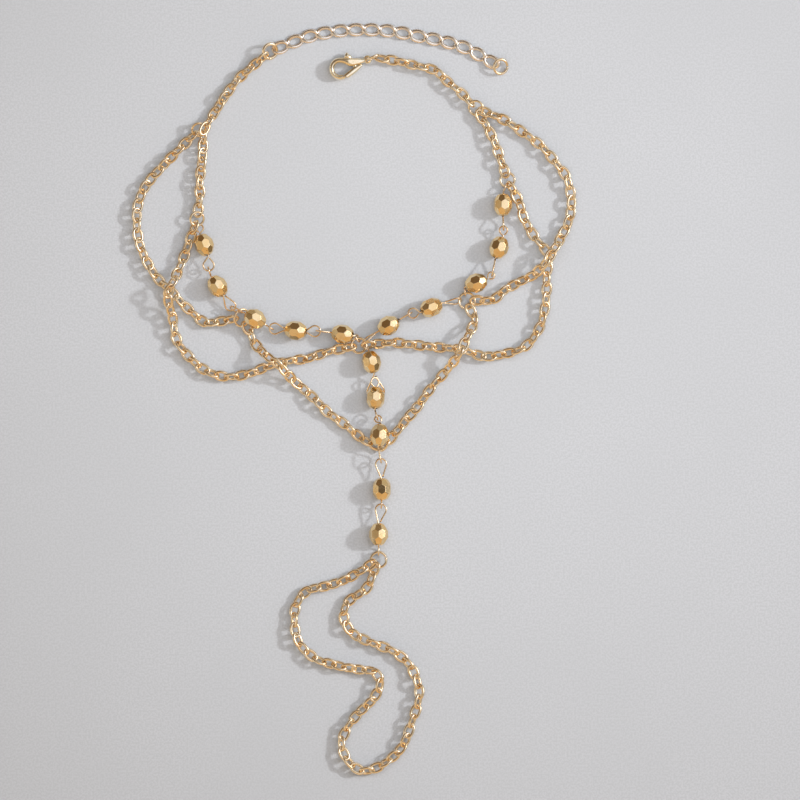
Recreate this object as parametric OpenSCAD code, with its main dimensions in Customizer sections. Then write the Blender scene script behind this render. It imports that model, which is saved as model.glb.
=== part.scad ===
// Beaded anklet with a toe loop, lying flat: an ankle chain with a lobster clasp and an
// extender, two bead strings, chain swags, and a bead string down the foot to a toe loop.
// Millimetres, +Z up, floor at z = 0, origin under the middle of the whole piece,
// +Y from the toe loop towards the clasp.

/* [Beads] */
// Diameter of a bead across its flats
bead_d = 3.9; // [3.8:0.1:4.1]
// Length of a bead along its hole
bead_len = 4.9; // [4.7:0.1:4.9]
// Diameter of a bead's flat end
bead_end_d = 2.3; // [2:0.1:2.5]
// Diameter of a bead's hole
bead_hole_d = 1.4; // [1.3:0.1:1.4]
// Number of facets round a bead
bead_facets = 8; // [8:1:8]
// Radius to which the slanting facets would run at the middle, per radius of the flats
bead_cone = 1.28; // [1.2:0.02:1.34]

/* [Pins] */
// Wire of the eye pins that carry the beads
pin_wire = 0.4; // [0.3:0.05:0.4]
// Width of an eye pin's loop, outside
loop_w = 2.4; // [2.2:0.1:2.4]

/* [Rings] */
// Wire of the jump rings
ring_wire = 0.5; // [0.4:0.05:0.5]

/* [Chains] */
// Diameter of the space that the cable chain's links fill
chain_d = 2.2; // [2:0.1:2.2]
// Width of the extender's curb chain
curb_w = 2.8; // [2.4:0.1:2.8]
// Height of the extender's curb chain
curb_h = 1.3; // [1:0.1:1.3]

/* [Clasp] */
// Outer diameter of the clasp's hook
hook_d = 4.9; // [4.8:0.1:4.9]
// Width of the hook's bar, seen from above
hook_bar_w = 0.85; // [0.7:0.05:0.85]
// Height of the clasp
clasp_h = 2; // [1.8:0.1:2]
// Angle of the clasp's long axis, anticlockwise from +X
clasp_heading = 19; // [15:1:22]

/* [Hidden] */
$fn = 48;

// Height of a bead's axis above the floor, where it lies free
bead_z = 2.15;
// Height of a jump ring that lies in the low part of the pins' loops
ring_z = 1.1;
// Height of a loop's middle where a ring is hooked in it
hook_z = 1.15;
// Sides of a chain's tube, and of a pin's wire
tube_sides = 8;
// Angle from one ring of corners to the next along a pin's loop
loop_step = 30;

// Each route point is x, y and how far the chain is lifted there to pass over another.
ankle_right_upper_route = [
  [6.5, 76, 0], [10, 75, 0], [14, 74, 0], [18, 73, 0], [21, 70.5, 0], [24, 68, 0], [25.5, 66.5, 0]];
ankle_right_lower_route = [
  [28.5, 62.5, 0], [30, 60, 0], [31.5, 57, 0], [32.5, 54, 0], [33.5, 51, 0]];
ankle_left_upper_route = [
  [-20.5, 76, 0], [-25, 71.5, 0], [-27.5, 68.5, 0], [-29.5, 65.5, 0], [-32.5, 61.5, 0]];
ankle_left_lower_route = [
  [-33.5, 57.5, 0], [-33.5, 53, 0], [-34, 48.5, 0], [-34, 45, 0], [-34.5, 42.5, 0]];
extender_route = [
  [-16, 78, 0], [-10, 80.5, 0], [-5, 81.5, 0], [0, 82, 0], [5, 82, 0], [10, 81.5, 0],
  [15, 80.5, 0], [20, 79.5, 0], [25, 78, 0], [31, 75, 0]];
swag_outer_left_route = [
  [-36, 58, 0], [-41, 53, 0], [-45.5, 48, 0], [-47.5, 44, 0], [-48, 39.5, 0], [-47.5, 35, 0],
  [-46, 31, 0], [-43.5, 27, 0], [-40.5, 24, 0], [-36, 19.5, 0], [-32.5, 17, 0], [-27, 15.5, 0]];
swag_inner_left_route = [
  [-36, 37.5, 0], [-37, 33, 0], [-38.5, 29, 0.5], [-40, 25.5, 2.5], [-41, 22.5, 2.5],
  [-40, 18, 0.5], [-39.5, 14.5, 0], [-38.5, 12, 0], [-36, 9, 0], [-33, 6.5, 0], [-28.5, 5, 0],
  [-23.5, 5.5, 0], [-19.5, 7, 0], [-14, 8.5, 0], [-10, 9, 0], [-5.5, 10.5, 0], [-1, 11, 0]];
v_chain_left_route = [
  [-24, 15, 0], [-21.5, 12, 0], [-19, 9.5, 2], [-17, 8, 2.6], [-15, 6, 2], [-12.5, 3.5, 0],
  [-9, 0.5, 0], [-5.5, -3, 0], [-2, -5.5, 0], [1, -8, 0], [3, -10.5, 0], [5, -11.5, 0]];
v_chain_right_route = [
  [7, -11.5, 0], [9, -9, 0], [11.5, -5, 0], [14.5, -1.5, 0], [17, 2, 0], [20, 5.5, 0],
  [22.5, 8.5, 2], [24, 11, 2.6], [25.5, 14, 2], [27, 17.5, 0], [27.5, 19.5, 0]];
swag_outer_right_route = [
  [30, 65, 0], [33.5, 62, 0], [38, 59, 0], [42, 56, 0], [45, 52.5, 0], [47.5, 49, 0],
  [48.5, 44, 0], [48, 40, 0], [46.5, 36.5, 0.4], [44.5, 33, 2.5], [42.5, 30, 2.5],
  [40, 27.5, 0.4], [37, 26, 0], [33.5, 24, 0], [31, 22, 0], [28.5, 21.5, 0]];
swag_inner_right_route = [
  [35.5, 46.5, 0.3], [37, 43.5, 0], [38, 40, 0], [40, 36.5, 0], [42, 34, 0], [43.5, 31.5, 0],
  [43, 27.5, 0], [43, 23.5, 0], [42.5, 19.5, 0], [41, 15, 0], [38, 11.5, 0], [33.5, 10, 0],
  [29, 9.5, 0], [24, 11, 0], [19, 11.5, 0], [14, 12, 0], [9, 12.5, 0], [4.5, 12.5, 0]];
toe_loop_route = [
  [3.5, -38, 0], [-1.5, -40, 0], [-6, -41.5, 0], [-10, -42.5, 0], [-12.5, -45.5, 0],
  [-13, -49.5, 0], [-12, -54, 0], [-8.5, -57.5, 0], [-4, -59, 0], [1, -60, 0], [4.5, -60.5, 0],
  [6, -63, 0], [4.5, -66.5, 0], [1, -70, 0], [-1.5, -73.5, 0], [-2.5, -77, 0], [-0.5, -81, 0],
  [3, -82.5, 0], [7.5, -80.5, 0], [11, -77, 0], [13, -72, 0], [14.5, -67, 0], [14.5, -63.5, 0],
  [12.5, -59, 0], [9, -56, 0], [4, -54, 0], [0, -52, 0], [-2, -48.5, 0], [-1, -45, 0],
  [3, -42, 0], [5.5, -38.5, 0]];

// Columns of the table of jump rings
X = 0;
Y = 1;
Z = 2;
RING_R = 3;
TILT = 4;
TILT_HEADING = 5;
// Rings: x, y, z, outer radius, tilt from lying flat, heading of the axis it tilts about
clasp_ring_row = [4.5, 75.84, 1.78, 1.75, 90, 21];
extender_ring_row = [-18.4, 77.2, 1.4, 2, 30, 60];
end_ring_row = [32.8, 73.8, 1.2, 1.9, 25, 60];
swag_left_ring_row = [-34.2, 59.8, 1.5, 1.8, 20, 0];
swag_right_ring_row = [27.3, 64.6, 1.5, 1.9, 20, -45];
left_ring_row = [-34.6, 40, ring_z, 1.9, 0, 0];
right_ring_row = [34.3, 48.7, ring_z, 1.9, 0, 0];
lower_left_ring_row = [-24.6, 18, 1.55, 2.2, 32, 70];
lower_right_ring_row = [25.3, 21.8, ring_z, 2.05, 0, 0];
centre_ring_row = [1.3, 11.9, 1.4, 1.95, 8, -135];
toe_ring_row = [5.7, -35.7, ring_z, 2, 0, 0];

// Columns of the tables of beads: where a bead is, which way its hole runs and how far that
// end is raised, then the point where its far loop is hooked and that loop's roll
HEADING = 3;
PITCH = 4;
HOOK_X = 5;
HOOK_Y = 6;
HOOK_Z = 7;
ROLL = 8;
// The first string hangs between the left ring and the centre ring. A roll of 0 lies flat.
left_start = [-34.3, 38.4, hook_z, 90];
left_beads = [
  [-33, 34.2, bead_z, -70, 0, -32, 28.9, bead_z, 0],
  [-30, 25, bead_z, -56, 0, -26.8, 20.1, 1.5, 20],
  [-21.7, 17.8, bead_z + 0.75, -30, -5, -18.1, 15.7, bead_z, 90],
  [-12.7, 15.2, bead_z, -6, 0, -7.7, 15.1, bead_z, 0],
  [-2.3, 14.4, bead_z + 0.15, -8, 0, 1.2, 13.4, 1.1, 120]];
// The second hangs between the right ring and the lower right ring
right_start = [33.8, 47.1, hook_z, 90];
right_upper_beads = [
  [33.3, 43.1, bead_z, -91, 0, 33.4, 37.9, bead_z, 90],
  [32.4, 33.6, bead_z, -110, 0, 30.9, 27.6, bead_z, 90],
  [27.3, 25.7, bead_z, -159, 0, 24.9, 23.55, hook_z, 90]];
// The third goes on from there to the centre ring
right_middle = [23.5, 21.8, hook_z, 60];
right_lower_beads = [
  [17.4, 20.3, bead_z, -157, 0, 12.7, 19, bead_z, 0],
  [7.9, 16.3, bead_z, -151, 0, 2.6, 12.95, 1.4, 75]];
// The fourth runs from the centre ring down the foot to the toe loop's ring
foot_start = [2.75, 11.55, 1.5, 75];
foot_beads = [
  [4.1, 8.2, bead_z, -77, 0, 5.1, 3.7, bead_z, 0],
  [5, 0.3, bead_z, -92, 0, 5.4, -4.2, 2.4, 90],
  [5.9, -8, bead_z + 0.9, -96, 6, 6.2, -13.7, 2.3, 90],
  [6.4, -20, bead_z, -90, 0, 6.3, -23.8, bead_z, 90],
  [5.7, -30, bead_z, -90, 0, 5.7, -34, hook_z, 90]];
// How far a loop's tip reaches past the point where another loop, or a ring, is hooked in it
past_loop = 0.65;
past_ring = 0.8;
// Least distance from a loop's start to the middle of its round end, per radius
drop_length = 1.4;
// How far inside the bead a loop begins, and how far outside where it turns aside sharply
neck_in = 0.35;
neck_out = 0.3;
sharp_turn = 12;
// Gap between a loop's cut end and the wire beside it
cut_gap = 0.04;

// Clasp, in its own frame: origin in the middle of the hook, +X towards the tail
clasp_x = -2.8;
clasp_y = 73.3;
clasp_z = clasp_h / 2 + 0.2;
hook_r = (hook_d - hook_bar_w) / 2;
hook_start = 25;
hook_sweep = 255;
root_h = 1.6;
cheek_r = 0.95;
cheek_h = 1.8;
cheek_at = [3.2, 0.5];
neck_r = 0.6;
neck_h = 1.4;
neck_at = [5, 0.1];
tail_at = [6.4, 0];
tail_root_r = 0.65;
tail_r = 0.95;
tail_hole_r = 0.6;
tail_h = 0.8;
slot_h = 1.1;
slot_from = 2.3;
slot_to = 4.3;
pivot_at = [3.2, 0.45];
pivot_r = 0.25;
pivot_h = 1.7;
pivot_play = 0.05;
lever_h = 0.9;
lever_hub_r = 0.6;
lever_arm_r = 0.35;
gate_r = 0.42;
gate_h = 1.7;
gate_from = [3.25, -1.15];
gate_to = [1, -1.95];
thumb_at = [2.5, 2.45];
thumb_r = 0.4;
thumb_h = 1.4;
// Gap between the hook's end and the gate's tip as it swings past
gate_gap = 0.12;
// Taller than the clasp, for cuts that go right through it
through = 3 * clasp_h;

// Direction of travel at point i of a route, level with the floor
function route_heading(route, i) =
  let (before = route[max(i - 1, 0)], after = route[min(i + 1, len(route) - 1)])
  atan2(after[Y] - before[Y], after[X] - before[X]);

// Points of the tube's ring at one route point: a regular polygon, flat side down,
// whose across-flats size is w wide and h high
function tube_ring(point, heading, w, h, z) =
  [for (k = [0:tube_sides - 1])
    let (a = 360 * (k + 0.5) / tube_sides, s = 0.5 / cos(180 / tube_sides))
    let (side = w * s * cos(a), up = h * s * sin(a))
    [point[X] - side * sin(heading), point[Y] + side * cos(heading), z + point[2] + up]];

// A solid through rings of corners, closed at both ends
module skin(rings) {
  n = len(rings);
  start_cap = [[for (k = [0:tube_sides - 1]) k]];
  end_cap = [[for (k = [tube_sides - 1:-1:0]) (n - 1) * tube_sides + k]];
  walls = [for (i = [0:n - 2]) for (k = [0:tube_sides - 1])
    let (a = i * tube_sides + k, b = i * tube_sides + (k + 1) % tube_sides)
    each [[a, a + tube_sides, b], [b, a + tube_sides, b + tube_sides]]];
  polyhedron(points = [for (ring = rings) each ring], faces = concat(start_cap, walls, end_cap));
}

// A tube swept along a route
module tube(route, w, h) {
  skin([for (i = [0:len(route) - 1]) tube_ring(route[i], route_heading(route, i), w, h, h / 2)]);
}

module cable_chain(route) {
  color("goldenrod") tube(route, chain_d, chain_d);
}

module curb_chain(route) {
  color("wheat") tube(route, curb_w, curb_h);
}

// A round ring of wire, lying in the XY plane
module wire_ring(outer_r, wire) {
  rotate_extrude() translate([outer_r - wire / 2, 0]) circle(d = wire);
}

module jump_ring(row) {
  color("gold")
    translate([row[X], row[Y], row[Z]])
      rotate([0, 0, row[TILT_HEADING]])
        rotate([row[TILT], 0, 0])
          wire_ring(row[RING_R], ring_wire);
}

// Puts a piece on a bead's axis: +X runs along the hole, from loop a to loop b
module on_axis(row) {
  translate([row[X], row[Y], row[Z]])
    rotate([0, -row[PITCH], row[HEADING]])
      children();
}

// A faceted bead: a prism of flats cut by two rings of slanting facets, staggered between them
module bead(row) {
  flat_r = bead_d / 2;
  corner = cos(180 / bead_facets);
  cone_r = flat_r * bead_cone / corner;
  end_r = bead_end_d / 2 / corner;
  color("darkgoldenrod")
    on_axis(row) rotate([0, 90, 0]) difference() {
      intersection() {
        rotate([0, 0, 180 / bead_facets])
          cylinder(r = flat_r / corner, h = bead_len, center = true, $fn = bead_facets);
        union() {
          cylinder(r1 = cone_r, r2 = end_r, h = bead_len / 2, $fn = bead_facets);
          mirror([0, 0, 1]) cylinder(r1 = cone_r, r2 = end_r, h = bead_len / 2, $fn = bead_facets);
        }
      }
      cylinder(d = bead_hole_d, h = bead_len + 1, center = true);
    }
}

function unit(v) = v / norm(v);

// The place that a row's first three columns give
function place(row) = [row[X], row[Y], row[Z]];

// Direction of a bead's hole
function axis_of(row) =
  [cos(row[HEADING]) * cos(row[PITCH]), sin(row[HEADING]) * cos(row[PITCH]), sin(row[PITCH])];

// Where a loop begins at one end of a bead (side is 1 at the far end), going to a hook point
function neck(row, side, hook) =
  let (axis = side * axis_of(row), face = place(row) + axis * bead_len / 2)
  let (run = hook - face, turn = acos(run * axis / norm(run)))
  face + axis * (turn > sharp_turn ? neck_out : -neck_in);

// Middle line of a drop-shaped loop that starts at a neck and reaches past a hook point: from
// the neck round the loop to the wire's cut end beside the neck
function loop_line(from, hook, reach, roll) =
  let (along = unit(hook - from), level = unit(cross([0, 0, 1], along)), up = cross(along, level))
  let (aside = level * cos(roll) + up * sin(roll), run = norm(hook - from))
  let (widest = (loop_w - pin_wire) / 2, tip = run + reach - pin_wire / 2)
  let (r = min(widest, tip / (1 + drop_length)))
  let (c = tip - r, half = asin(r / c), steps = ceil((180 + 2 * half) / loop_step))
  let (cut = (pin_wire / 2 + cut_gap) / sin(half))
  [from,
    for (i = [0:steps])
      let (a = -90 - half + (180 + 2 * half) * i / steps)
      from + along * (c + r * cos(a)) + aside * r * sin(a),
    from + along * cut * cos(half) + aside * cut * sin(half)];

function reversed(line) = [for (i = [len(line) - 1:-1:0]) line[i]];

// Rings of corners round a wire's middle line, each turned as little as it can from the last
function wire_rings(line, i = 0, last = [0, 0, 1]) =
  i == len(line) ? [] :
  let (t = unit(line[min(i + 1, len(line) - 1)] - line[max(i - 1, 0)]))
  let (side = unit(last - t * (last * t)), up = cross(t, side), r = pin_wire / 2)
  concat(
    [[for (k = [0:tube_sides - 1])
      let (a = 360 * k / tube_sides)
      line[i] + side * r * cos(a) + up * r * sin(a)]],
    wire_rings(line, i + 1, side));

// The eye pin of bead i of a string: one wire bent to a loop, through the bead, and to a loop.
// The loop before the first bead is hooked in a ring, and so is the one after the last.
module pin(string, i, start) {
  row = string[i];
  before = i == 0 ? start : [for (k = [HOOK_X:ROLL]) string[i - 1][k]];
  first = i == 0;
  last = i == len(string) - 1;
  hook_a = place(before);
  hook_b = [row[HOOK_X], row[HOOK_Y], row[HOOK_Z]];
  roll_a = before[3] + (first ? 0 : 90);
  loop_a = loop_line(neck(row, -1, hook_a), hook_a, first ? past_ring : past_loop, roll_a);
  loop_b = loop_line(neck(row, 1, hook_b), hook_b, last ? past_ring : past_loop, row[ROLL]);
  color("khaki") skin(wire_rings(concat(reversed(loop_a), loop_b)));
}

// Puts a piece in the clasp's own frame
module on_clasp() {
  translate([clasp_x, clasp_y, clasp_z]) rotate([0, 0, clasp_heading]) children();
}

// An upright round post of the clasp
module post(at, r, h) {
  translate([at[X], at[Y], 0]) cylinder(r = r, h = h, center = true, $fn = 32);
}

// The hook's bar: an arc with an oval section, whose end follows the swing of the gate's tip
module hook_arc() {
  swing_r = norm(gate_to - pivot_at) + gate_r + gate_gap;
  end_side = [hook_d, hook_d - hook_r / 2, through];
  difference() {
    rotate([0, 0, hook_start])
      rotate_extrude(angle = hook_sweep)
        translate([hook_r, 0])
          polygon([for (a = [0:30:330]) [hook_bar_w / 2 * cos(a), clasp_h / 2 * sin(a)]]);
    intersection() {
      post(pivot_at, swing_r, through);
      translate([-hook_d / 2, -hook_d, -through / 2]) cube(end_side);
    }
  }
}

module clasp_body() {
  color("gold")
    on_clasp() {
      difference() {
        union() {
          hook_arc();
          hull() {
            post([hook_r * cos(hook_start), hook_r * sin(hook_start)], hook_bar_w / 2, root_h);
            post(cheek_at, cheek_r, cheek_h);
          }
          hull() {
            post(cheek_at, cheek_r, cheek_h);
            post(neck_at, neck_r, neck_h);
          }
          hull() {
            post(neck_at, neck_r, neck_h);
            post(tail_at, tail_root_r, tail_h);
          }
          post(tail_at, tail_r, tail_h);
        }
        translate([(slot_from + slot_to) / 2, 0, 0])
          cube([slot_to - slot_from, hook_d, slot_h], center = true);
        post(tail_at, tail_hole_r, through);
      }
      post(pivot_at, pivot_r, pivot_h);
    }
}

module clasp_lever() {
  color("gold")
    on_clasp() difference() {
      union() {
        hull() {
          post(pivot_at, lever_hub_r, lever_h);
          post(gate_from, lever_arm_r, lever_h);
        }
        hull() {
          post(pivot_at, lever_arm_r, lever_h);
          post(thumb_at, lever_arm_r, lever_h);
        }
        hull() {
          post(gate_from, gate_r, gate_h);
          post(gate_to, gate_r, gate_h);
        }
        post(thumb_at, thumb_r, thumb_h);
      }
      post(pivot_at, pivot_r + pivot_play, through);
    }
}

clasp_body();
clasp_lever();
jump_ring(clasp_ring_row);  // ring_clasp
cable_chain(ankle_right_upper_route);  // ankle_chain_right_upper
cable_chain(ankle_right_lower_route);  // ankle_chain_right_lower
cable_chain(ankle_left_upper_route);  // ankle_chain_left_upper
cable_chain(ankle_left_lower_route);  // ankle_chain_left_lower
curb_chain(extender_route);  // extender_chain
jump_ring(extender_ring_row);  // ring_extender
jump_ring(end_ring_row);  // ring_end
jump_ring(swag_left_ring_row);  // ring_swag_left
jump_ring(swag_right_ring_row);  // ring_swag_right
jump_ring(left_ring_row);  // ring_left
jump_ring(right_ring_row);  // ring_right
jump_ring(lower_left_ring_row);  // ring_lower_left
jump_ring(lower_right_ring_row);  // ring_lower_right
jump_ring(centre_ring_row);  // ring_centre
jump_ring(toe_ring_row);  // ring_toe
cable_chain(swag_outer_left_route);  // swag_outer_left
cable_chain(swag_outer_right_route);  // swag_outer_right
cable_chain(swag_inner_left_route);  // swag_inner_left
cable_chain(swag_inner_right_route);  // swag_inner_right
cable_chain(v_chain_left_route);  // v_chain_left
cable_chain(v_chain_right_route);  // v_chain_right
cable_chain(toe_loop_route);  // toe_loop
bead(left_beads[0]);  // bead_left_1
bead(left_beads[1]);  // bead_left_2
bead(left_beads[2]);  // bead_left_3
bead(left_beads[3]);  // bead_left_4
bead(left_beads[4]);  // bead_left_5
bead(right_upper_beads[0]);  // bead_right_1
bead(right_upper_beads[1]);  // bead_right_2
bead(right_upper_beads[2]);  // bead_right_3
bead(right_lower_beads[0]);  // bead_right_4
bead(right_lower_beads[1]);  // bead_right_5
bead(foot_beads[0]);  // bead_foot_1
bead(foot_beads[1]);  // bead_foot_2
bead(foot_beads[2]);  // bead_foot_3
bead(foot_beads[3]);  // bead_foot_4
bead(foot_beads[4]);  // bead_foot_5
pin(left_beads, 0, left_start);  // pin_left_1
pin(left_beads, 1, left_start);  // pin_left_2
pin(left_beads, 2, left_start);  // pin_left_3
pin(left_beads, 3, left_start);  // pin_left_4
pin(left_beads, 4, left_start);  // pin_left_5
pin(right_upper_beads, 0, right_start);  // pin_right_1
pin(right_upper_beads, 1, right_start);  // pin_right_2
pin(right_upper_beads, 2, right_start);  // pin_right_3
pin(right_lower_beads, 0, right_middle);  // pin_right_4
pin(right_lower_beads, 1, right_middle);  // pin_right_5
pin(foot_beads, 0, foot_start);  // pin_foot_1
pin(foot_beads, 1, foot_start);  // pin_foot_2
pin(foot_beads, 2, foot_start);  // pin_foot_3
pin(foot_beads, 3, foot_start);  // pin_foot_4
pin(foot_beads, 4, foot_start);  // pin_foot_5
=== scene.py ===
"""A gold anklet with bead strings, chain swags and a toe loop, lying on a pale surface."""

import math
import random
from collections import namedtuple

import bpy
import numpy as np
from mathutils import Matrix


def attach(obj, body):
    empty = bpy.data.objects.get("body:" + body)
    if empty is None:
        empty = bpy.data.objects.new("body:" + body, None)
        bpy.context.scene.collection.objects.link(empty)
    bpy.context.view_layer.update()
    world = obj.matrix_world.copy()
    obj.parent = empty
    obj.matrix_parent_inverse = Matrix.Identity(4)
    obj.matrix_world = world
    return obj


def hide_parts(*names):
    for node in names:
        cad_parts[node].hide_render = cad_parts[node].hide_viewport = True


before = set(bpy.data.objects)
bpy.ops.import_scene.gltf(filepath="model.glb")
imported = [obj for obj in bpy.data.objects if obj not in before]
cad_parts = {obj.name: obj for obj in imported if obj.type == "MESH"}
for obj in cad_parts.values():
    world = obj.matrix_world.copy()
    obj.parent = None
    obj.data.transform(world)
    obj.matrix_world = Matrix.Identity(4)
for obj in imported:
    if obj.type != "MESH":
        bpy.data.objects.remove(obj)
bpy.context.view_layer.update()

# Pieces are drawn in millimetres. Camera, lights, materials and surface are in metres. Angles
# are in degrees.
MM = 0.001
BODY = "anklet"
LEVER = "lever"
UP = np.array([0.0, 0.0, 1.0])
SEED = 7
rng = random.Random(SEED)


# Camera, light and sky

scene = bpy.context.scene
scene.view_settings.view_transform = "Standard"
scene.view_settings.look = "None"

CAMERA_AT = (0.01044, -0.00022, 1.2)
VIEW_WIDTH = 0.1778
SENSOR = 36
camera_data = bpy.data.cameras.new("camera")
camera_data.sensor_width = SENSOR
camera_data.lens = SENSOR * CAMERA_AT[2] / VIEW_WIDTH
camera_data.clip_start = 0.01
camera_data.clip_end = 20
camera = bpy.data.objects.new("camera", camera_data)
camera.location = CAMERA_AT
scene.collection.objects.link(camera)
scene.camera = camera

# A small window on the right casts the crisp shadows, a panel above it shines in the metal and
# a lamp overhead adds soft light. In the metal the window is a lobe of the sky.
KEY_AZIMUTH = 14
KEY_ELEVATION = 31
KEY_DISTANCE = 1.1
PANEL_AZIMUTH = 20
PANEL_ELEVATION = 57
PANEL_DISTANCE = 0.7
LAMP_AT = (0.015, 0.035, 0.2)


def toward(azimuth, elevation):
    """Unit vector from two angles in degrees."""
    a, e = math.radians(azimuth), math.radians(elevation)
    return (math.cos(e) * math.cos(a), math.cos(e) * math.sin(a), math.sin(e))


def far(distance, azimuth, elevation):
    return [distance * c for c in toward(azimuth, elevation)]


def round_light(name, size, energy, colour, place, azimuth, elevation, shines=False, shades=True):
    """A disk of light that comes from a direction. One that shines can be seen in the metal. One
    that doesn't shade only fills in."""
    data = bpy.data.lights.new(name, "AREA")
    data.shape = "DISK"
    data.size = size
    data.energy = energy
    data.color = colour
    light = bpy.data.objects.new(name, data)
    light.location = place
    light.rotation_euler = (math.radians(90 - elevation), 0, math.radians(azimuth + 90))
    data.use_shadow = shades
    light.visible_glossy = shines
    light.visible_camera = False
    scene.collection.objects.link(light)


round_light("window", size=0.07, energy=7.4, colour=(0.98, 1.0, 1.02),
            place=far(KEY_DISTANCE, KEY_AZIMUTH, KEY_ELEVATION),
            azimuth=KEY_AZIMUTH, elevation=KEY_ELEVATION)
round_light("panel", size=0.62, energy=0.5, colour=(0.93, 1.0, 1.3),
            place=far(PANEL_DISTANCE, PANEL_AZIMUTH, PANEL_ELEVATION),
            azimuth=PANEL_AZIMUTH, elevation=PANEL_ELEVATION, shines=True)
round_light("lamp", size=0.24, energy=0.29, colour=(0.96, 1.0, 1.04), place=LAMP_AT,
            azimuth=0, elevation=90, shades=False)


def node(tree, kind, **values):
    """A shader node with its settings."""
    made = tree.nodes.new(kind)
    for name, value in values.items():
        setattr(made, name, value)
    return made


def lobe(tree, direction, azimuth, elevation, full, edge):
    """1 in the sky within full degrees of a direction, and 0 beyond edge degrees of it."""
    dot = node(tree, "ShaderNodeVectorMath", operation="DOT_PRODUCT")
    dot.inputs[1].default_value = toward(azimuth, elevation)
    tree.links.new(direction, dot.inputs[0])
    ramp = node(tree, "ShaderNodeMapRange", interpolation_type="SMOOTHSTEP")
    ramp.inputs["From Min"].default_value = math.cos(math.radians(edge))
    ramp.inputs["From Max"].default_value = math.cos(math.radians(full))
    tree.links.new(dot.outputs["Value"], ramp.inputs["Value"])
    return ramp.outputs["Result"]


# The sky's own colour, and its lobes: azimuth, elevation, radius at full strength, radius at
# the edge, colour
SKY = (0.53, 0.52, 0.5, 1)
LOBES = [
    (270, 25, 25, 62, (0.72, 0.51, 0.3, 1)),
    (200, 15, 15, 45, (0.56, 0.47, 0.36, 1)),
    (188, 12, 5, 14, (1.5, 1.42, 1.3, 1)),
    (345, 2, 12, 32, (0.2, 0.17, 0.13, 1)),
    (125, 36, 22, 50, (0.17, 0.12, 0.08, 1)),
    (170, 89, 5, 15, (0.13, 0.11, 0.09, 1)),
    (KEY_AZIMUTH, KEY_ELEVATION, 7, 15, (6.5, 6.5, 6.7, 1)),
]


def build_sky():
    """A pale room with a bright panel and a window on the right and dark gaps elsewhere."""
    world = bpy.data.worlds.new("studio")
    scene.world = world
    world.use_nodes = True
    tree = world.node_tree
    direction = node(tree, "ShaderNodeTexCoord").outputs["Generated"]
    colour = None
    for azimuth, elevation, full, edge, tint in LOBES:
        mix = node(tree, "ShaderNodeMix", data_type="RGBA")
        if colour is None:
            mix.inputs[6].default_value = SKY
        else:
            tree.links.new(colour, mix.inputs[6])
        mix.inputs[7].default_value = tint
        tree.links.new(lobe(tree, direction, azimuth, elevation, full, edge), mix.inputs[0])
        colour = mix.outputs[2]
    tree.links.new(colour, tree.nodes["Background"].inputs["Color"])


build_sky()


# Materials

def material(name):
    made = bpy.data.materials.new(name)
    made.use_nodes = True
    tree = made.node_tree
    where = node(tree, "ShaderNodeTexCoord").outputs["Object"]
    return made, tree, tree.nodes["Principled BSDF"], where


def noise(tree, where, scale, detail=3.0, roughness=0.5):
    made = node(tree, "ShaderNodeTexNoise")
    made.inputs["Scale"].default_value = scale
    made.inputs["Detail"].default_value = detail
    made.inputs["Roughness"].default_value = roughness
    tree.links.new(where, made.inputs["Vector"])
    return made.outputs["Fac"]


def ranged(tree, value, low, high, to_low, to_high):
    made = node(tree, "ShaderNodeMapRange", interpolation_type="SMOOTHSTEP")
    made.inputs["From Min"].default_value = low
    made.inputs["From Max"].default_value = high
    made.inputs["To Min"].default_value = to_low
    made.inputs["To Max"].default_value = to_high
    tree.links.new(value, made.inputs["Value"])
    return made.outputs["Result"]


def mixed(tree, factor, a, b):
    made = node(tree, "ShaderNodeMix", data_type="RGBA")
    tree.links.new(factor, made.inputs[0])
    for socket, value in ((made.inputs[6], a), (made.inputs[7], b)):
        if isinstance(value, tuple):
            socket.default_value = (*value, 1)
        else:
            tree.links.new(value, socket)
    return made.outputs[2]


def relief(tree, where, shader, scale, strength, depth):
    """A fine unevenness of the surface."""
    bump = node(tree, "ShaderNodeBump")
    bump.inputs["Strength"].default_value = strength
    bump.inputs["Distance"].default_value = depth
    tree.links.new(noise(tree, where, scale), bump.inputs["Height"])
    tree.links.new(bump.outputs["Normal"], shader.inputs["Normal"])


# Scales of the noise in the golds, per metre, and the depth of their pits
DRIFT_SCALE = 420
TARNISH_SCALE = 900
GLOSS_SCALE = 1500
WIRE_PITS = 2600
BEAD_PITS = 1700
CLASP_PITS = 1500
PIT_DEPTH = 0.00004
DARK_GOLD = (0.48, 0.27, 0.1)


def gold(name, bright, deep, rough, pitting, pit_scale, tarnish_from, tarnish=DARK_GOLD):
    """Plated metal: its colour drifts between two golds, tarnish gathers in patches, the gloss
    is uneven and the plating is finely pitted."""
    made, tree, shader, where = material(name)
    drift = ranged(tree, noise(tree, where, DRIFT_SCALE), 0.35, 0.65, 0, 1)
    colour = mixed(tree, drift, bright, deep)
    patches = ranged(tree, noise(tree, where, TARNISH_SCALE, 5, 0.65),
                     tarnish_from, tarnish_from + 0.15, 0, 0.8)
    tree.links.new(mixed(tree, patches, colour, tarnish), shader.inputs["Base Color"])
    gloss = ranged(tree, noise(tree, where, GLOSS_SCALE, 4), 0.3, 0.75, rough * 0.7, rough * 1.5)
    tree.links.new(gloss, shader.inputs["Roughness"])
    shader.inputs["Metallic"].default_value = 1
    relief(tree, where, shader, pit_scale, pitting, PIT_DEPTH)
    return made


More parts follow.
